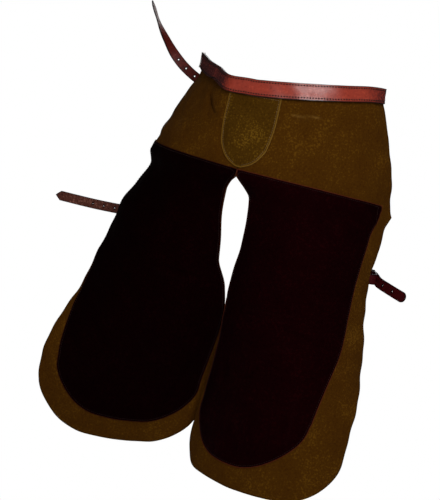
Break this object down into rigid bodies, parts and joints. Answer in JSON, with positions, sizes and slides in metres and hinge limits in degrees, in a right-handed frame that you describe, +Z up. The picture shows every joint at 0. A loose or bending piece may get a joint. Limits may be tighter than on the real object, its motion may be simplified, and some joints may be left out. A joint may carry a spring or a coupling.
{
  "type": "farrier apron",
  "caption": "Split-leg leather work apron with dark thigh patches, a stitched belt and buckled waist and leg straps, worn and hollow.",
  "frame": {"origin": "middle of the waist ring, at the height of the waistline at the centre front", "axes": "+Z up, -Y out of the front of the apron, +X to the right as seen from the front"},
  "size_m": [0.8008, 0.29, 0.9076],
  "materials": {
    "suede": "brown suede split leather, fine nap",
    "dark": "near-black maroon smooth leather, satin",
    "belt": "red-brown waxed belt leather, glossy, with dark stitching",
    "strap": "red-brown strap leather with dark edges",
    "steel": "plain steel wire, satin"
  },
  "bodies": {
    "root": {"panel_left": "suede", "panel_right": "suede", "centre_patch": "suede", "thigh_patch_left": "dark", "thigh_patch_right": "dark", "belt_front": "belt", "waist_strap": "strap", "waist_billet": "strap", "leg_strap_left": "strap", "leg_strap_right": "strap", "leg_billet_left": "strap", "leg_billet_right": "strap", "waist_keeper": "strap", "leg_left_keeper": "strap", "leg_right_keeper": "strap", "belt_tip": "steel", "waist_buckle_frame": "steel", "waist_buckle_tongue": "steel", "leg_left_buckle_frame": "steel", "leg_left_buckle_tongue": "steel", "leg_right_buckle_frame": "steel", "leg_right_buckle_tongue": "steel"}
  },
  "joints": []
}
